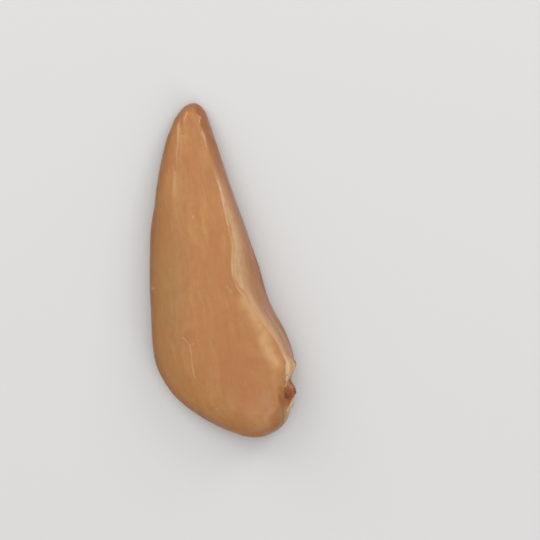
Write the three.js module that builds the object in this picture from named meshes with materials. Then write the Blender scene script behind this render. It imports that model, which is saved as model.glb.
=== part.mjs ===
// A raw chicken breast fillet, lying smooth side up: one closed piece of meat.
// Millimetres, +Z up. The thin tail points along +Y, the thick head end along -Y, and the cut
// flank, where the meat came off the breastbone, faces +X. The origin lies on the surface that
// the fillet rests on, under the middle of its length and width.

import * as THREE from "three";
import { mergeVertices } from "three/addons/utils/BufferGeometryUtils.js";

const length = 179;
const width = 72.6;
const thickness = 26;

const halfLength = length / 2;
const halfWidth = width / 2;

// The outline seen from above, as shares of half the width and half the length. It runs from the
// tail down the thin edge, round the head end and back up the flank.
const outlineShares = [
  [0.2, 1.0],
  [0.02, 0.975],
  [-0.17, 0.89],
  [-0.43, 0.673],
  [-0.66, 0.4],
  [-0.84, 0.09],
  [-0.965, -0.24],
  [-1.0, -0.43],
  [-0.96, -0.55],
  [-0.83, -0.67],
  [-0.6, -0.78],
  [-0.3, -0.886],
  [0.06, -0.975],
  [0.34, -1.0],
  [0.6, -0.966],
  [0.77, -0.9],
  [0.88, -0.81],
  [0.885, -0.71],
  [0.965, -0.645],
  [0.985, -0.55],
  [0.93, -0.42],
  [0.77, -0.216],
  [0.72, -0.04],
  [0.658, 0.141],
  [0.557, 0.393],
  [0.455, 0.65],
  [0.385, 0.84],
  [0.33, 0.955],
];
const outlineSteps = 480;

// The spine that the meat swells from, as shares of half the length, and the spokes off it.
const spineTail = 0.8;
const spineHead = -0.58;
const sideSpokes = 56;
const tailSpokes = 15;
const headSpokes = 44;

// Rings of points on each spoke: over the back, down the shoulder, under the rim, over the base.
const backRings = 6;
const shoulderRings = 11;
const rollRings = 5;
const baseRings = 2;

// How the form changes from the head end, at -1, to the tail, at 1. Each point is
// [share of half the length, value]: heights as shares of the thickness, widths in millimetres.
const crestHeight = profile(
  [-1, 0.71], [-0.75, 0.87], [-0.45, 0.985], [-0.1, 0.97], [0.3, 0.8], [0.65, 0.57], [1, 0.38],
);
const rimHeight = profile([-1, 0.27], [-0.5, 0.25], [0.2, 0.2], [1, 0.13]);
const thinShoulder = profile([-1, 15], [-0.7, 21], [0, 22], [0.5, 16], [1, 8]);
const flankShoulder = profile(
  [-1, 13], [-0.8, 10.5], [-0.66, 6.5], [-0.5, 6.2], [-0.2, 9.8],
  [-0.03, 13.6], [0.15, 10], [0.5, 8.5], [1, 8],
);
const flankRoundness = profile([-0.8, 2], [-0.62, 1.45], [-0.3, 1.3], [0.2, 1.4], [0.8, 2]);
const rollWidth = profile([-1, 7], [-0.5, 5.5], [0.3, 4.5], [1, 2.6]);

const thinRoundness = 2.1; // exponent of the rounded shoulder, where 2 is an ellipse
const thinEdgeFall = 0.3; // share of the height lost from the crest to the thin edge
const flankFall = 0.07;
const crestOffset = 7; // the crest lies this far from the spine, towards the flank
const flankRoll = 0.6; // on the flank the rim lies lower and rolls under less, by this share
const fullSpoke = 0.97; // no shoulder takes more of a spoke than this share

const tolerance = 1e-6;
const mergeDistance = 1e-3;

// Soft dips in the meat: [x, y] in millimetres, how far they reach each way, and how deep.
const dips = [
  { at: [28.2, -69.5], reach: [3.2, 5], depth: 2.4 }, // the raw patch by the knob
  { at: [20.5, -70], reach: [1.4, 6.5], depth: 0.7 }, // creases beside it
  { at: [24.2, -67], reach: [1.2, 5.5], depth: 0.6 },
  { at: [-8, -30], reach: [10, 24], depth: 0.5 },
  { at: [6, 34], reach: [8, 20], depth: 0.6 },
];

// Bits of fat and connective tissue left on the lower end of the flank, and the notches between
// them: [y, z] in millimetres, how far they reach along y and z, and how far they stand out.
const flankBumps = [
  { at: [-56.8, 15], reach: [6, 6.5], out: 1.2 }, // strip of fat
  { at: [-54.6, 8.6], reach: [2.6, 2.8], out: 1.5 }, // its tip
  { at: [-62.6, 11], reach: [2, 6], out: -1.5 }, // notch under the strip
  { at: [-67.8, 6], reach: [3, 4.4], out: 2.6 }, // knob
  { at: [-72.2, 7], reach: [1.6, 4], out: -0.9 }, // notch beside the knob
  { at: [-75.6, 7.2], reach: [2.6, 2.4], out: 1.1 }, // shred
  { at: [-30, 13], reach: [16, 3], out: -0.5 }, // long hollow of the flank
];

function profile(...points) {
  const curve = new THREE.CubicInterpolant(
    points.map(([place]) => place),
    points.map(([, value]) => value),
    1,
  );
  return (place) => curve.evaluate(place)[0];
}

// A soft bump: 1 in its middle, fading to 0 past its reach.
function bump(a, b, { at, reach }) {
  return Math.exp(-(((a - at[0]) / reach[0]) ** 2) - ((b - at[1]) / reach[1]) ** 2);
}

function makeOutline() {
  const corners = outlineShares.map(
    ([across, lengthways]) => new THREE.Vector3(across * halfWidth, lengthways * halfLength, 0),
  );
  return new THREE.CatmullRomCurve3(corners, true, "centripetal").getSpacedPoints(outlineSteps);
}

// The distance from a point inside the outline to its edge, in a given direction.
function distanceToEdge(outline, from, direction) {
  let nearest = Infinity;
  for (let i = 0; i < outline.length - 1; i++) {
    const edge = outline[i + 1].clone().sub(outline[i]);
    const gap = outline[i].clone().sub(from);
    const cross = direction.x * edge.y - direction.y * edge.x;
    if (Math.abs(cross) < tolerance) continue;
    const distance = (gap.x * edge.y - gap.y * edge.x) / cross;
    const share = (gap.x * direction.y - gap.y * direction.x) / cross;
    const meets = distance > 0 && share > -tolerance && share < 1 + tolerance;
    if (meets) nearest = Math.min(nearest, distance);
  }
  return nearest;
}

// Spokes run from the spine out to the edge: a pair at each station along the spine, and a fan
// round each of its ends. They go round from the tail, down the thin edge and up the flank.
function makeSpokes(outline) {
  const left = new THREE.Vector3(-1, 0, 0);
  const right = new THREE.Vector3(1, 0, 0);
  const stations = [];
  for (let i = 0; i <= sideSpokes; i++) {
    const lengthways = THREE.MathUtils.lerp(spineTail, spineHead, i / sideSpokes) * halfLength;
    const probe = new THREE.Vector3(0, lengthways, 0);
    const middle = (distanceToEdge(outline, probe, right) - distanceToEdge(outline, probe, left)) / 2;
    stations.push(new THREE.Vector3(middle, lengthways, 0));
  }
  const spokes = [
    ...stations.map((from) => ({ from, direction: left })),
    ...makeFan(stations.at(-1), Math.PI, headSpokes),
    ...stations.toReversed().map((from) => ({ from, direction: right })),
    ...makeFan(stations[0], 0, tailSpokes),
  ];
  for (const spoke of spokes) spoke.reach = distanceToEdge(outline, spoke.from, spoke.direction);
  return spokes;
}

function makeFan(from, startAngle, count) {
  const fan = [];
  for (let i = 1; i < count; i++) {
    const angle = startAngle + (Math.PI * i) / count;
    fan.push({ from, direction: new THREE.Vector3(Math.cos(angle), Math.sin(angle), 0) });
  }
  return fan;
}

// Gentle swellings of soft meat, and its dips, in millimetres of height.
function relief(x, y) {
  let height = 0.45 * Math.sin(x / 9.5 + y / 31 + 0.6) * Math.cos(y / 17 - 0.4);
  height += 0.3 * Math.sin(y / 11 - x / 14 + 2.1);
  for (const dip of dips) height -= dip.depth * bump(x, y, dip);
  return height;
}

// The height of the back, before it falls to the rim.
function backHeight(point, spineX) {
  const offset = (point.x - spineX - crestOffset) / halfWidth;
  const fall = offset < 0 ? thinEdgeFall : flankFall;
  return crestHeight(point.y / halfLength) * thickness * (1 - fall * offset * offset);
}

// The rounded rise from the rim: 0 at the rim and 1 where the shoulder ends.
function rise(share, exponent) {
  return (1 - (1 - share) ** exponent) ** (1 / exponent);
}

// A string of points from the spine over the back, down to the rim and under to the spine again.
function spokePoints({ from, direction, reach }) {
  const { lerp, smoothstep } = THREE.MathUtils;
  const rim = direction.clone().multiplyScalar(reach).add(from);
  const place = rim.y / halfLength;
  const flank = smoothstep(direction.x, -0.25, 0.75);
  const shoulder = Math.min(lerp(thinShoulder(place), flankShoulder(place), flank), reach * fullSpoke);
  const roundness = lerp(thinRoundness, flankRoundness(place), flank);
  const edge = rimHeight(place) * thickness * lerp(1, flankRoll, flank);
  const roll = Math.min(rollWidth(place) * lerp(1, flankRoll, flank), reach * fullSpoke);
  const inward = (distance) => rim.clone().addScaledVector(direction, -distance);
  const points = [];

  for (let i = 0; i < backRings; i++) {
    const point = inward(lerp(reach, shoulder, i / backRings));
    point.z = backHeight(point, from.x) + relief(point.x, point.y);
    points.push(point);
  }
  for (let i = 0; i < shoulderRings; i++) {
    const share = 1 - Math.sin((Math.PI / 2) * (i / shoulderRings));
    const point = inward(shoulder * share);
    const swell = relief(point.x, point.y) * Math.sqrt(share);
    point.z = edge + (backHeight(point, from.x) - edge) * rise(share, roundness) + swell;
    points.push(point);
  }
  for (let i = 0; i <= rollRings; i++) {
    const angle = (Math.PI / 2) * (i / rollRings);
    const point = inward(roll * (1 - Math.cos(angle)));
    point.z = edge * (1 - Math.sin(angle));
    points.push(point);
  }
  for (let i = 1; i <= baseRings; i++) points.push(inward(lerp(roll, reach, i / baseRings)));

  for (const point of points) {
    const nearRim = smoothstep(Math.hypot(point.x - from.x, point.y - from.y) / reach, 0.4, 0.8);
    let out = 0;
    for (const flankBump of flankBumps) out += flankBump.out * bump(point.y, point.z, flankBump);
    point.addScaledVector(direction, out * flank * nearRim);
  }
  return points;
}

function makeMeat() {
  const strings = makeSpokes(makeOutline()).map(spokePoints);
  const positions = [];
  const addFace = (...corners) => corners.forEach(({ x, y, z }) => positions.push(x, y, z));
  for (let i = 0; i < strings.length; i++) {
    const here = strings[i];
    const next = strings[(i + 1) % strings.length];
    for (let j = 0; j < here.length - 1; j++) {
      addFace(here[j], here[j + 1], next[j + 1]);
      addFace(here[j], next[j + 1], next[j]);
    }
  }
  const loose = new THREE.BufferGeometry();
  loose.setAttribute("position", new THREE.Float32BufferAttribute(positions, 3));
  const geometry = sew(loose);
  geometry.computeBoundingBox();
  const { min, max } = geometry.boundingBox;
  return geometry.translate(-(min.x + max.x) / 2, -(min.y + max.y) / 2, 0);
}

// Merges the corners that meet, and drops the faces that collapse where a fan's spokes start.
function sew(loose) {
  const geometry = mergeVertices(loose, mergeDistance);
  const kept = [];
  for (let i = 0; i < geometry.index.count; i += 3) {
    const [a, b, c] = geometry.index.array.slice(i, i + 3);
    if (a !== b && b !== c && c !== a) kept.push(a, b, c);
  }
  geometry.setIndex(kept);
  geometry.computeVertexNormals();
  return geometry;
}

const breast = new THREE.Mesh(
  makeMeat(),
  new THREE.MeshStandardMaterial({ color: 0xb98a5c, roughness: 0.42, metalness: 0 }),
);
breast.name = "breast_fillet";

const fillet = new THREE.Group();
fillet.add(breast);

export default fillet;
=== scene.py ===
from math import atan, cos, radians, sin

import bpy
import numpy as np
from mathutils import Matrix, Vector, noise


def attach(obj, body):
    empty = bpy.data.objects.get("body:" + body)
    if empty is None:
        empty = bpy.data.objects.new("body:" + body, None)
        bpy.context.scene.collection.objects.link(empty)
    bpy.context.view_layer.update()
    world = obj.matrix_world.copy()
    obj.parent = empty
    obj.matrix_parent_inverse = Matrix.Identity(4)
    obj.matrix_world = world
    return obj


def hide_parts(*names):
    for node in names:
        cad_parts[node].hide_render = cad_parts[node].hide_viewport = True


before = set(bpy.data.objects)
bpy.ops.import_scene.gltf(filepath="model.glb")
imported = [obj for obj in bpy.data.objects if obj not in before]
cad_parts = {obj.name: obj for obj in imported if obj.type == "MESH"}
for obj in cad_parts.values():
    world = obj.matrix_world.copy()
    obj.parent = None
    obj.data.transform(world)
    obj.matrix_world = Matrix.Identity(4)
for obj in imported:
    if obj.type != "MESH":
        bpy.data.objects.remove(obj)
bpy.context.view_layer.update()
bpy.ops.object.select_all(action="DESELECT")  # the loaded nodes come in selected
mm = 0.001
print("frame loaded")


# node helpers for the room and the meat

def addNode(tree, kind, **settings):
    node = tree.nodes.new(kind)
    for name, value in settings.items():
        setattr(node, name, value)
    return node


def remap(tree, value, low, high, outLow=0.0, outHigh=1.0):
    ramp = addNode(tree, "ShaderNodeMapRange", interpolation_type="SMOOTHSTEP")
    ramp.inputs["From Min"].default_value = low
    ramp.inputs["From Max"].default_value = high
    ramp.inputs["To Min"].default_value = outLow
    ramp.inputs["To Max"].default_value = outHigh
    tree.links.new(value, ramp.inputs["Value"])
    return ramp.outputs["Result"]


# camera, floor and lights

view = {
    "aim": (31.0, -4.1),  # mm, what the middle of the picture looks at
    "aimHeight": 5.0,  # mm, level of the widest outline
    "pictureWidth": 283.5,  # mm across the picture at that level
    "distance": 1500.0,  # mm
    "roll": -10.12,  # degrees, how far the long side leans in the picture
}


def makeCamera():
    aim = Vector((*view["aim"], view["aimHeight"])) * mm
    bpy.ops.object.camera_add(location=aim + Vector((0, 0, view["distance"] * mm)))
    camera = bpy.context.object
    camera.name = "topCamera"
    camera.rotation_euler = (0, 0, radians(view["roll"]))
    camera.data.angle = 2 * atan(view["pictureWidth"] / 2 / view["distance"])
    camera.data.clip_end = 50
    bpy.context.scene.camera = camera


studio = {
    "floorSize": 12.0,  # m
    "floorColor": (0.6, 0.595, 0.585),
    "horizon": 0.42,  # how bright the room is low down
    "overhead": 1.14,
    "lamps": {  # place in m, size in m, power in W
        "keyPanel": ((1.0, 0.75, 0.6), 0.5, 4.8),
        "tailPanel": ((-0.7, 1.1, 0.7), 0.9, 8.0),
        "headPanel": ((0.6, -1.2, 0.65), 0.8, 3.5),
    },
}


def makeFloor():
    bpy.ops.mesh.primitive_plane_add(size=studio["floorSize"])
    floor = bpy.context.object
    floor.name = "floor"
    paint = bpy.data.materials.new("floorPaint")
    paint.use_nodes = True
    shader = paint.node_tree.nodes["Principled BSDF"]
    shader.inputs["Base Color"].default_value = (*studio["floorColor"], 1)
    shader.inputs["Roughness"].default_value = 0.9
    shader.inputs["Specular IOR Level"].default_value = 0.1
    floor.data.materials.append(paint)


def makeLamps():
    for name, (place, size, power) in studio["lamps"].items():
        bpy.ops.object.light_add(type="AREA", location=place)
        lamp = bpy.context.object
        lamp.name = name
        lamp.data.size = size
        lamp.data.energy = power
        lamp.rotation_euler = (-Vector(place)).to_track_quat("-Z", "Y").to_euler()


def makeRoom():  # white all round, brighter overhead
    world = bpy.data.worlds.new("paleRoom")
    world.use_nodes = True
    tree = world.node_tree
    background = tree.nodes["Background"]
    background.inputs["Color"].default_value = (1, 1, 1, 1)
    place = addNode(tree, "ShaderNodeTexCoord")
    split = addNode(tree, "ShaderNodeSeparateXYZ")
    tree.links.new(place.outputs["Generated"], split.inputs["Vector"])
    height = remap(tree, split.outputs["Z"], 0.1, 1, studio["horizon"], studio["overhead"])
    tree.links.new(height, background.inputs["Strength"])
    bpy.context.scene.world = world
    bpy.context.scene.view_settings.view_transform = "Standard"


makeCamera()
makeFloor()
makeLamps()
makeRoom()
print("camera, floor and lamps ready")


# the breast fillet, worked up from the plain solid: all places and sizes in mm

breast = {
    "voxel": 0.62,  # spacing of the fine surface
    "smoothPasses": 5,
    "strands": {  # bits grown to the foot of the flank: x, y, z and radius at each corner
        "fatRibbon": [
            (30.4, -49.6, 22.4, 0.6), (31.0, -53.0, 20.8, 1.3), (31.1, -56.5, 19.4, 1.5),
            (30.3, -60.0, 17.2, 1.2), (29.1, -63.8, 14.4, 0.7),
        ],
        "fatFold": [
            (32.2, -51.0, 18.4, 0.5), (33.8, -53.0, 14.8, 1.1), (34.4, -55.6, 12.6, 1.3),
            (32.9, -58.8, 13.4, 0.8),
        ],
        "knob": [
            (29.6, -64.4, 11.4, 0.9), (31.2, -66.6, 9.8, 1.8), (31.8, -69.2, 7.6, 1.9),
            (30.6, -71.6, 7.4, 1.1),
        ],
        "shred": [
            (27.4, -77.8, 13.4, 0.5), (28.6, -76.6, 12.5, 1.1), (29.9, -74.9, 11.7, 1.3),
            (30.9, -73.4, 10.8, 1.0), (31.8, -72.3, 10.2, 0.5),
        ],
        "shredEnd": [
            (26.4, -79.4, 12.8, 0.3), (28.0, -78.4, 11.4, 0.7), (29.7, -76.8, 9.8, 0.8),
            (30.6, -75.2, 8.0, 0.6), (31.4, -73.8, 6.4, 0.4),
        ],
    },
    "ridge": [  # where the back meets the flank, from the head end to the tail
        (28.5, -68.0), (29.9, -60.0), (30.4, -51.4), (28.4, -41.7), (23.8, -32.7), (19.4, -23.0),
        (16.0, -14.5), (12.8, -8.5), (11.7, -2.0), (12.4, 4.4), (13.6, 10.0), (14.0, 17.0),
        (13.0, 32.0), (11.3, 50.0), (9.0, 68.0), (7.0, 84.0),
    ],
    "lines": {  # corners, half width, how far it stands out
        "seam": ([
            (30.6, -51.0), (29.1, -43.5), (26.2, -36.5), (22.6, -29.7), (19.4, -23.0),
            (17.3, -15.5), (15.1, -9.0), (14.9, -4.2), (15.5, 2.0), (15.5, 10.0), (15.0, 22.0),
        ], 0.38, 0.1),
        "upperSeam": ([
            (16.0, -15.6), (13.3, -11.4), (11.8, -6.0), (11.6, -1.9), (12.4, 4.4), (13.6, 9.5),
            (14.2, 16.0),
        ], 0.38, 0.1),
        "seamGroove": ([
            (12.6, -12.6), (10.6, -7.0), (10.0, -1.9), (10.7, 4.4), (11.9, 9.5), (12.6, 16.0),
        ], 0.8, -0.14),
        "vein": ([(-19.6, -30.8), (-17.2, -34.9), (-17.0, -40.8), (-17.5, -46.6), (-17.2, -53.1)],
                 0.32, 0.07),
        "veinBranch": ([(-16.9, -35.6), (-14.4, -34.7)], 0.3, 0.05),
        "wrinkle": ([(24.4, -62.0), (23.0, -66.0), (22.5, -70.0), (22.6, -73.5)], 1.1, 0.3),
        "wrinkleLeft": ([(22.6, -63.5), (21.0, -67.5), (20.5, -73.5)], 0.8, -0.25),
        "wrinkleRight": ([(26.2, -61.5), (24.8, -66.5), (24.1, -71.5), (24.5, -76.0)], 0.7, -0.35),
        "edgeCrease": ([(25.6, -74.4), (24.9, -77.6), (24.0, -81.6), (21.6, -85.4)], 0.7, -0.4),
        "swirl": ([(3.0, -63.0), (8.7, -60.4), (13.6, -62.4), (16.4, -67.4)], 1.4, 0.1),
        "tailFold": ([(4.6, 40.0), (5.8, 56.0), (4.4, 72.0), (4.0, 82.0)], 0.9, -0.12),
        "tailFoldLeft": ([(-6.5, 46.0), (-3.6, 60.0), (-2.2, 74.0)], 1.0, -0.1),
    },
    "paleLines": {"seam": 0.85, "upperSeam": 0.85, "vein": 0.65, "veinBranch": 0.55},
    "fatEdges": [  # y, then the x between which the fat lies
        (-65.0, 29.0, 29.6), (-62.0, 29.4, 31.8), (-59.0, 29.7, 33.6), (-56.5, 29.9, 36.0),
        (-54.5, 30.1, 36.5), (-52.0, 30.6, 34.6), (-49.0, 30.6, 31.8), (-46.0, 29.9, 30.3),
    ],
    "fatRagged": 1.4,  # how far the edge of the fat wanders
    "flecksAndGlint": [  # tiny pale flecks, the first a painted glint: place and reach
        ((-30.9, -2.9), (0.9, 0.4)), ((8.9, -11.3), (0.5, 0.9)), ((7.6, -9.0), (0.4, 0.6)),
        ((-3.5, 30.0), (0.5, 0.8)), ((-9.0, -70.5), (0.7, 0.4)),
    ],
    "spots": {  # soft patches seen from above: middle, reach across and along, turn in degrees
        "torn": ((30.4, -69.0), (4.2, 9.5), -4),
        "olive": ((-24, -6), (10, 46), 8),
        "rosy": ((4, -46), (13, 24), -6),
        "lilac": ((16.6, -70.0), (3.4, 5.0), 20),
        "glow": ((10.8, -80.5), (7.5, 4.0), 70),
        # painted shade: a darker orange-brown patch at the lower edge
        "amberShade": ((20.0, -82.6), (4.5, 2.6), 60),
        "hollow": ((27.7, -70.4), (4.5, 7.4), 8),
        "hollowDeep": ((29.0, -70.2), (1.9, 3.2), 12),
        "nick": ((29.4, -78.0), (2.0, 1.6), 30),
        "lowShade": ((23.0, -78.4), (3.2, 6.6), 20),
        "paleEdge": ((26.0, -79.6), (2.4, 4.2), 24),
    },
    "fatAndSheenBands": {  # pale bands on the back beside the ridge, pale fat under the membrane with painted sheen: corners, half width
        "fatAndSheen": ([(15.3, -17.3), (18.5, -26.0), (21.3, -34.3), (23.0, -45.2), (25.6, -52.0)], 3.0),
        "fatAndSheenSpot": ([(20.4, -39.0), (22.6, -45.3), (25.4, -51.8)], 1.8),
    },
    "fades": {  # from where to where something comes in
        "skin": (0.6, 4.5),  # heights
        "underside": (2, 0.2),
        "foot": (19, 4),
        "rimShade": (24, 8),
        "fat": (8.5, 14),
        "flankBegins": (-64, -56),  # along
        "flankWidens": (-16, -2),  # here the pale top of the flank gets wider, towards the tail
        "knobDark": (-66, -68),
        "knobSide": (30.8, 32.8),  # across
        "fatTipHighlight": (33.8, 35.4),
        "flank": (-0.4, 1.4),  # past the ridge
        "flankTopSheen": (6.6, -0.4),
        "fatAndSheen": (1, -1),
    },
    "clouds": {  # size of the soft noise that breaks up edges, and its octaves
        "edges": ((7, 12, 4), 2),
        "shreds": ((2.2, 3.4, 2.6), 3),
        "threads": ((2.5, 6, 4), 2),
        "lines": ((3, 5, 5), 2),
        "wander": ((12, 24, 12), 2),
    },
    "dents": {"hollowDeep": 0.9, "nick": 1.1},  # patches and how deep they go in
    "fineLine": 0.6,  # lines thinner than this get finer faces beside them
    "fineReach": 1.2,  # that far out
    "fineAbove": 7.0,  # and only above this height
    "strandReach": 2.5,  # how far round a strand the finest faces go
    "fibreFocus": (-3.0, 175.0),  # past the tail, where the fibres would meet
    "fibreSpread": 150.0,
    "fibreWander": 1.6,
    "reliefs": [  # region, size across, along and down the fibres, height
        ("skin", (14, 34, 14), 0.7),
        ("skin", (5.5, 22, 6), 0.22),
        ("skin", (1.7, 30, 1.9), 0.05),
        ("flank", (3.4, 15, 3.2), 0.1),
        ("flank", (1.1, 9, 1.1), 0.04),
        ("torn", (2.2, 3.2, 2.0), 0.6),
        ("torn", (0.7, 2.4, 0.9), 0.35),
        ("fat", (2.2, 3.2, 2.2), 0.4),
        ("fat", (0.8, 1.4, 0.9), 0.08),
        ("underside", (2.6, 34, 2.6), 0.6),
    ],
}


def readVectors(mesh, what):
    values = np.empty(len(mesh.vertices) * 3)
    mesh.vertices.foreach_get(what, values)
    return values.reshape(-1, 3)


def smoothStep(values, start, end):  # 0 before the start, 1 past the end, which may be the lower one
    share = np.clip((values - start) / (end - start), 0, 1)
    return share * share * (3 - 2 * share)


def fade(values, name, shift=0):
    start, end = breast["fades"][name]
    return smoothStep(values, start + shift, end)


def facingUp(facing):  # facing is 1 where the surface faces up, -1 where it faces down
    return smoothStep(facing, 0.1, 0.4)


def spot(plan, middle, reach, turn=0):  # in plan: 1 in the middle, fading to 0 past its reach
    across, along = (plan - middle).T
    c, s = cos(radians(turn)), sin(radians(turn))
    sideways, lengthways = across * c - along * s, across * s + along * c
    return np.exp(-((sideways / reach[0]) ** 2) - (lengthways / reach[1]) ** 2)


def bendLine(corners, steps=6):  # rounds a line through its corners
    corners = np.array(corners, float)
    knots = np.vstack((2 * corners[0] - corners[1], corners, 2 * corners[-1] - corners[-2]))
    points = []
    for a, b, c, d in zip(knots[:-3], knots[1:-2], knots[2:-1], knots[3:]):
        for t in np.arange(steps) / steps:
            points.append(0.5 * (
                2 * b + (c - a) * t + (2 * a - 5 * b + 4 * c - d) * t**2 + (3 * b - a - 3 * c + d) * t**3
            ))
    return np.array([*points, corners[-1]])


def distanceToLine(plan, corners):
    line = bendLine(corners)
    nearest = np.full(len(plan), np.inf)
    for start, end in zip(line[:-1], line[1:]):
        run = end - start
        along = np.clip((plan - start) @ run / (run @ run), 0, 1)
        foot = start + along[:, None] * run
        nearest = np.minimum(nearest, np.hypot(*(plan - foot).T))
    return nearest


def strandMask(points, name, grow):  # 1 on the strand, fading to 0 that far off its surface
    away = np.full(len(points), np.inf)
    for *place, radius in bendLine(breast["strands"][name]):
        away = np.minimum(away, np.linalg.norm(points - place, axis=1) - radius)
    return smoothStep(away, grow, 0)


def bandMask(plan, corners, halfWidth):  # 1 on the line, fading to 0 past its half width
    return np.exp(-((distanceToLine(plan, corners) / halfWidth) ** 2))


def lineMask(plan, name):
    corners, halfWidth, _ = breast["lines"][name]
    return bandMask(plan, corners, halfWidth)


def pastRidge(plan):  # how far each point lies past the ridge, towards the flank
    ridge = bendLine(breast["ridge"])
    return plan[:, 0] - np.interp(plan[:, 1], ridge[:, 1], ridge[:, 0])


def inFatPatch(points, uneven):
    x, y, z = points.T
    lengthways, left, right = np.array(breast["fatEdges"]).T
    inward = np.minimum(x - np.interp(y, lengthways, left), np.interp(y, lengthways, right) - x)
    ends = np.minimum(y - lengthways[0], lengthways[-1] - y)
    inside = smoothStep(np.minimum(inward, ends) + breast["fatRagged"] * uneven, -0.5, 0.8)
    return inside * fade(z + 4 * uneven, "fat")


def clouds(places, size, octaves=2):  # soft noise, about -1 to 1
    return np.array([noise.fractal(Vector(place), 1, 2, octaves) for place in places / size])


def alongFibres(points):  # the fibres fan out from a point past the tail, wandering a little
    x, y, z = points.T
    focusX, focusY = breast["fibreFocus"]
    across = np.arctan2(x - focusX, focusY - y) * breast["fibreSpread"]
    across += breast["fibreWander"] * clouds(points, *breast["clouds"]["wander"])
    return np.column_stack((across, np.hypot(x - focusX, focusY - y), z))


def applyModifier(piece, kind, **settings):
    modifier = piece.modifiers.new(kind.lower(), kind)
    for name, value in settings.items():
        setattr(modifier, name, value)
    bpy.context.view_layer.objects.active = piece
    bpy.ops.object.modifier_apply(modifier=modifier.name)


def copyNode(node, name):
    piece = bpy.data.objects.new(name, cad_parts[node].data.copy())
    bpy.context.scene.collection.objects.link(piece)
    piece.select_set(True)
    bpy.context.view_layer.objects.active = piece
    bpy.ops.object.mode_set(mode="EDIT")
    bpy.ops.mesh.select_all(action="SELECT")
    bpy.ops.mesh.remove_doubles(threshold=0.001 * mm)
    bpy.ops.object.mode_set(mode="OBJECT")
    piece.data.materials.clear()
    return piece


def addStrands(piece):  # round strands on curves, joined to the meat before it is remeshed
    bpy.ops.object.select_all(action="DESELECT")
    for name, corners in breast["strands"].items():
        curve = bpy.data.curves.new(name, "CURVE")
        curve.dimensions = "3D"
        curve.bevel_depth = mm
        curve.use_fill_caps = True
        spline = curve.splines.new("NURBS")
        spline.points.add(len(corners) - 1)
        spline.use_endpoint_u = True
        for knot, (*place, radius) in zip(spline.points, corners):
            knot.co = (*Vector(place) * mm, 1)
            knot.radius = radius
        strand = bpy.data.objects.new(name, curve)
        bpy.context.scene.collection.objects.link(strand)
        strand.select_set(True)
        bpy.context.view_layer.objects.active = strand
    bpy.ops.object.convert(target="MESH")
    piece.select_set(True)
    bpy.context.view_layer.objects.active = piece
    bpy.ops.object.join()


def refineDetails(piece):  # finer faces where there are fine lines
    middles = np.empty(len(piece.data.polygons) * 3)
    piece.data.polygons.foreach_get("center", middles)
    middles = middles.reshape(-1, 3) / mm
    away = np.full(len(middles), np.inf)
    for corners, halfWidth, _ in breast["lines"].values():
        if halfWidth < breast["fineLine"]:
            away = np.minimum(away, distanceToLine(middles[:, :2], corners))
    nearStrand = np.zeros(len(middles), bool)
    for name in breast["strands"]:
        nearStrand |= strandMask(middles, name, breast["strandReach"]) > 0
    nearLine = (away < breast["fineReach"]) & (middles[:, 2] > breast["fineAbove"]) & ~nearStrand
    for wanted, cuts in ((nearLine, 1), (nearStrand, 2)):
        added = len(piece.data.polygons) - len(wanted)  # faces of the first cut, none of them wanted
        wanted = np.append(wanted, np.zeros(added, bool))
        bpy.ops.object.mode_set(mode="EDIT")
        bpy.ops.mesh.select_mode(type="FACE")
        bpy.ops.mesh.select_all(action="DESELECT")
        bpy.ops.object.mode_set(mode="OBJECT")
        piece.data.polygons.foreach_set("select", wanted)
        bpy.ops.object.mode_set(mode="EDIT")
        bpy.ops.mesh.subdivide(number_cuts=cuts)
        bpy.ops.object.mode_set(mode="OBJECT")


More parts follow.
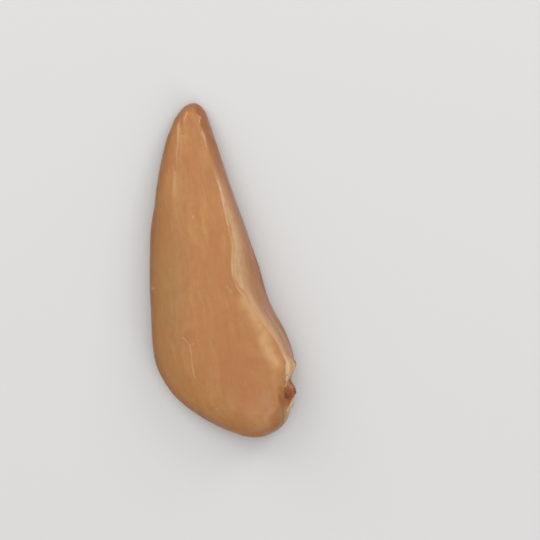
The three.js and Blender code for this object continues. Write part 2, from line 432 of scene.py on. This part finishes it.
def findRegions(piece):  # how much each vertex belongs to each region, from 0 to 1
    points = readVectors(piece.data, "co") / mm
    facing = readVectors(piece.data, "normal")[:, 2]
    x, y, z = points.T
    plan = points[:, :2]
    spots = {name: spot(plan, *shape) for name, shape in breast["spots"].items()}
    fatAndSheen = {name: bandMask(plan, *band) for name, band in breast["fatAndSheenBands"].items()}
    uneven = clouds(points, *breast["clouds"]["edges"])
    fine = clouds(points, *breast["clouds"]["shreds"])
    up = facingUp(facing)
    past = pastRidge(plan)
    inFlank = fade(past, "flank") * fade(y, "flankBegins") * smoothStep(facing, -0.7, -0.2)
    wider = fade(y, "flankWidens")
    topOfFlank = fade(past, "flankTopSheen", 5 * wider) * smoothStep(z, 15 - 6 * wider, 23 - 3 * wider)
    inFat = inFatPatch(points, fine)
    onKnob = strandMask(points, "knob", 0.8)
    regions = {
        "skin": fade(z, "skin") * smoothStep(facing, -0.5, 0.1),
        "underside": smoothStep(facing, -0.6, -0.95) * fade(z, "underside"),
        "torn": smoothStep(spots["torn"], 0.25, 0.9),
        "olive": spots["olive"] * up,
        "rosy": spots["rosy"] * up,
        # pale fat beside the ridge with painted sheen on it, only where the surface faces up
        "fatAndSheen": fatAndSheen["fatAndSheen"] * up * fade(past, "fatAndSheen"),
        "fatAndSheenSpot": fatAndSheen["fatAndSheenSpot"] * up,
        "lilac": spots["lilac"] * up,
        "glow": spots["glow"] * up,
        "amberShade": spots["amberShade"],
        # pale membrane at the top of the flank, with painted sheen where it rounds over
        "flankTopSheen": inFlank * topOfFlank,
        "flank": inFlank,
        # painted shade: the foot of the flank darkened red-brown towards the floor
        "foot": inFlank * fade(z, "foot", 3 * uneven),
        # painted shade on the low, steep sides away from the flank, darker towards the floor
        "rimShade": fade(z, "rimShade", 3 * uneven) * (1 - inFlank) * smoothStep(facing, 0.93, 0.42),
        "hollow": smoothStep(spots["hollow"] + 0.25 * fine, 0.2, 0.95),
        "hollowDeep": smoothStep(spots["hollowDeep"] + 0.35 * fine, 0.3, 1.1),
        "fat": inFat * (0.85 + 0.4 * fine),
        "fatBright": strandMask(points, "fatRibbon", 1.6) * inFat,
        "fatTipHighlight": strandMask(points, "fatFold", 0.6) * fade(x, "fatTipHighlight"),
        "nick": spots["nick"],
        # painted shade along the sunken crease near the lower edge
        "creaseShade": lineMask(plan, "edgeCrease"),
        # painted shade along the sunken groove beside the seam
        "grooveShade": lineMask(plan, "seamGroove") * up,
        "knob": onKnob,
        "knobShade": onKnob * fade(x, "knobSide") * fade(y, "knobDark"),
        "lowShade": spots["lowShade"],
        "shred": strandMask(points, "shred", 0.5) * smoothStep(fine, -0.8, 0.1),
        "shredEnd": strandMask(points, "shredEnd", 0.5) * smoothStep(fine, -0.6, 0.3),
        "paleEdge": spots["paleEdge"],
        "threadsAndGlint": np.zeros(len(points)),
    }
    # pale flecks, the first of them a painted glint
    for place, reach in breast["flecksAndGlint"]:
        regions["threadsAndGlint"] = np.maximum(regions["threadsAndGlint"], 0.6 * spot(plan, place, reach))
    broken = 0.75 + 0.4 * clouds(points, *breast["clouds"]["threads"])
    for name, strength in breast["paleLines"].items():
        line = lineMask(plan, name) * strength * broken * up
        regions["threadsAndGlint"] = np.maximum(regions["threadsAndGlint"], line)
    return {name: np.clip(values, 0, 1) for name, values in regions.items()}


def shapeSurface(piece, regions):  # pushes the soft relief, fibres and lines along the normals
    points = readVectors(piece.data, "co")
    normals = readVectors(piece.data, "normal")
    plan = points[:, :2] / mm
    fibres = alongFibres(points / mm)
    push = np.zeros(len(points))
    for region, size, height in breast["reliefs"]:
        push += clouds(fibres, size) * height * regions[region]
    for region, depth in breast["dents"].items():
        push -= depth * regions[region]
    up = facingUp(normals[:, 2])
    broken = 0.8 + 0.7 * clouds(points / mm, *breast["clouds"]["lines"])
    for name, (_, _, height) in breast["lines"].items():
        push += height * lineMask(plan, name) * up * broken
    points += normals * push[:, None] * mm
    points[:, 2] = np.maximum(points[:, 2], 0)
    piece.data.vertices.foreach_set("co", points.ravel())
    piece.data.update()


def storeMasks(piece, regions):
    for name in (*meat["paints"], "torn"):
        attribute = piece.data.attributes.new(name, "FLOAT", "POINT")
        attribute.data.foreach_set("value", regions[name].astype(np.float32))
    fibres = alongFibres(readVectors(piece.data, "co") / mm)
    attribute = piece.data.attributes.new("fibres", "FLOAT_VECTOR", "POINT")
    attribute.data.foreach_set("vector", fibres.astype(np.float32).ravel())


def makeBreast():
    piece = copyNode("breast_fillet", "rawChickenBreast")
    addStrands(piece)
    applyModifier(piece, "REMESH", mode="VOXEL", voxel_size=breast["voxel"] * mm)
    applyModifier(piece, "SMOOTH", factor=0.5, iterations=breast["smoothPasses"])
    refineDetails(piece)
    regions = findRegions(piece)
    shapeSurface(piece, regions)
    storeMasks(piece, regions)
    piece.data.materials.append(makeMeat())
    bpy.ops.object.shade_smooth()
    piece.data.calc_loop_triangles()
    print("breast:", len(piece.data.vertices), "vertices,", len(piece.data.loop_triangles), "triangles")
    return piece


# raw meat: soft and moist, mottled along its fibres, tinted region by region, some regions with painted
# shade, sheen and highlights

meat = {  # colours are as they look in soft daylight, 0 to 255
    "gloss": 0.035,  # share of white that the moist surface adds to every colour
    "light": 1.07,  # how much the lamps brighten a colour
    "base": (184, 135, 88),
    "pale": (193, 148, 100),
    "pink": (183, 128, 87),
    "mottle": (174, 121, 78),
    "hairline": (196, 150, 106),
    "paints": {  # colour and strength of each region, in the order they are laid on
        "olive": ((174, 139, 95), 0.7),
        "rosy": ((182, 127, 84), 0.8),
        # pale fat under the membrane beside the ridge, lightened further with painted sheen
        "fatAndSheen": ((208, 169, 122), 0.85),
        "fatAndSheenSpot": ((210, 170, 124), 0.6),
        "lilac": ((188, 142, 106), 0.8),
        "glow": ((192, 148, 104), 0.8),
        # painted shade: a darker orange-brown patch at the lower edge
        "amberShade": ((170, 116, 68), 0.7),
        # painted shade: the lower sides darkened towards the floor
        "rimShade": ((134, 90, 57), 0.85),
        "flank": ((168, 122, 86), 0.9),
        # pale membrane at the top of the flank, lightened with painted sheen
        "flankTopSheen": ((209, 177, 140), 0.9),
        # painted shade: the foot of the flank darkened red-brown
        "foot": ((148, 86, 53), 0.85),
        "lowShade": ((154, 106, 66), 0.6),
        "hollow": ((147, 89, 46), 0.85),
        "hollowDeep": ((112, 60, 26), 0.7),
        "paleEdge": ((174, 142, 106), 0.8),
        "fat": ((201, 169, 129), 0.85),
        "fatBright": ((216, 191, 149), 0.9),
        # fat lobe at the tip of the fold, painted with a bright highlight
        "fatTipHighlight": ((232, 192, 152), 0.7),
        # painted shade along the groove beside the seam
        "grooveShade": ((172, 126, 80), 0.5),
        # painted shade along the crease near the lower edge
        "creaseShade": ((142, 96, 56), 0.5),
        "knob": ((186, 136, 104), 0.85),
        "knobShade": ((96, 58, 34), 0.85),
        "shredEnd": ((182, 160, 128), 0.75),
        "shred": ((196, 190, 172), 0.82),
        # pale threads, lines and flecks, one fleck a painted glint
        "threadsAndGlint": ((216, 186, 148), 0.8),
    },
    "patterns": {  # size across, along and down the fibres in mm, detail, noise range, result range
        "streaks": ((3.2, 24, 4), 2, (0.35, 0.8), (0, 1)),
        "blotches": ((12, 18, 12), 2, (0.35, 0.75), (0, 1)),
        "mottles": ((2.6, 4.5, 3), 4, (0.45, 0.75), (0, 0.4)),
        "hairlines": ((0.8, 8, 1), 3, (0.5, 0.72), (0, 0.22)),
        "roughness": ((6, 16, 6), 2, (0.3, 0.7), (0.34, 0.5)),
    },
    "tornRoughness": 0.2,  # added where the meat is torn
    "moisture": (0.6, 0.15),  # on whole meat and where it is torn
    "bumps": {  # strength, height in mm, size as above, detail
        "swells": (0.5, 0.5, (2.8, 7, 3), 2),
        "grain": (0.7, 0.12, (0.6, 7, 0.7), 4),
    },
    "flesh": {  # the same all over
        "Subsurface Weight": 0.7,
        "Subsurface Radius": (1.0, 0.45, 0.28),
        "Subsurface Scale": 2.2 * mm,
        "IOR": 1.36,
        "Coat Roughness": 0.1,
        "Coat IOR": 1.4,
        "Coat Tint": (1, 0.92, 0.82, 1),
    },
}


def shaderColor(seen):  # the base colour that looks like the seen one under these lamps
    values = [channel / 255 for channel in seen]
    linear = [v / 12.92 if v <= 0.04045 else ((v + 0.055) / 1.055) ** 2.4 for v in values]
    return (*[max(v - meat["gloss"], 0.004) / meat["light"] for v in linear], 1)


def mixColors(tree, factor, below, above):
    mix = addNode(tree, "ShaderNodeMix", data_type="RGBA")
    tree.links.new(factor, mix.inputs["Factor"])
    a = next(s for s in mix.inputs if s.identifier == "A_Color")
    b = next(s for s in mix.inputs if s.identifier == "B_Color")
    for socket, color in ((a, below), (b, above)):
        if isinstance(color, tuple):
            socket.default_value = color
        else:
            tree.links.new(color, socket)
    return next(s for s in mix.outputs if s.identifier == "Result_Color")


def fibreNoise(tree, size, detail):  # noise with features of that size in mm, 0 to 1
    place = addNode(tree, "ShaderNodeAttribute", attribute_name="fibres")
    mapping = addNode(tree, "ShaderNodeMapping")
    mapping.inputs["Scale"].default_value = [1 / side for side in size]
    grain = addNode(tree, "ShaderNodeTexNoise")
    grain.inputs["Scale"].default_value = 1
    grain.inputs["Detail"].default_value = detail
    tree.links.new(place.outputs["Vector"], mapping.inputs["Vector"])
    tree.links.new(mapping.outputs["Vector"], grain.inputs["Vector"])
    return grain.outputs["Fac"]


def fibrePattern(tree, name):
    size, detail, noiseRange, resultRange = meat["patterns"][name]
    return remap(tree, fibreNoise(tree, size, detail), *noiseRange, *resultRange)


def mask(tree, name, strength):
    attribute = addNode(tree, "ShaderNodeAttribute", attribute_name=name)
    scale = addNode(tree, "ShaderNodeMath", operation="MULTIPLY")
    scale.inputs[1].default_value = strength
    tree.links.new(attribute.outputs["Fac"], scale.inputs[0])
    return scale.outputs["Value"]


def addBumps(tree):  # each bump lies on the one before it
    normal = None
    for strength, height, size, detail in meat["bumps"].values():
        bump = addNode(tree, "ShaderNodeBump")
        bump.inputs["Strength"].default_value = strength
        bump.inputs["Distance"].default_value = height * mm
        tree.links.new(fibreNoise(tree, size, detail), bump.inputs["Height"])
        if normal is not None:
            tree.links.new(normal, bump.inputs["Normal"])
        normal = bump.outputs["Normal"]
    return normal


def makeMeat():
    material = bpy.data.materials.new("rawMeat")
    material.use_nodes = True
    tree = material.node_tree
    shader = tree.nodes["Principled BSDF"]
    color = shaderColor(meat["base"])
    color = mixColors(tree, fibrePattern(tree, "streaks"), color, shaderColor(meat["pale"]))
    color = mixColors(tree, fibrePattern(tree, "blotches"), color, shaderColor(meat["pink"]))
    for name, (seen, strength) in meat["paints"].items():
        color = mixColors(tree, mask(tree, name, strength), color, shaderColor(seen))
    color = mixColors(tree, fibrePattern(tree, "mottles"), color, shaderColor(meat["mottle"]))
    color = mixColors(tree, fibrePattern(tree, "hairlines"), color, shaderColor(meat["hairline"]))
    tree.links.new(color, shader.inputs["Base Color"])
    roughness = addNode(tree, "ShaderNodeMath", operation="ADD")
    tree.links.new(fibrePattern(tree, "roughness"), roughness.inputs[0])
    tree.links.new(mask(tree, "torn", meat["tornRoughness"]), roughness.inputs[1])
    tree.links.new(roughness.outputs["Value"], shader.inputs["Roughness"])
    moisture = remap(tree, mask(tree, "torn", 1), 0, 1, *meat["moisture"])
    tree.links.new(moisture, shader.inputs["Coat Weight"])
    tree.links.new(addBumps(tree), shader.inputs["Normal"])
    for socket, value in meat["flesh"].items():
        shader.inputs[socket].default_value = value
    return material


breastPiece = makeBreast()
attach(breastPiece, "root")
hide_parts("breast_fillet")
print("breast ready")
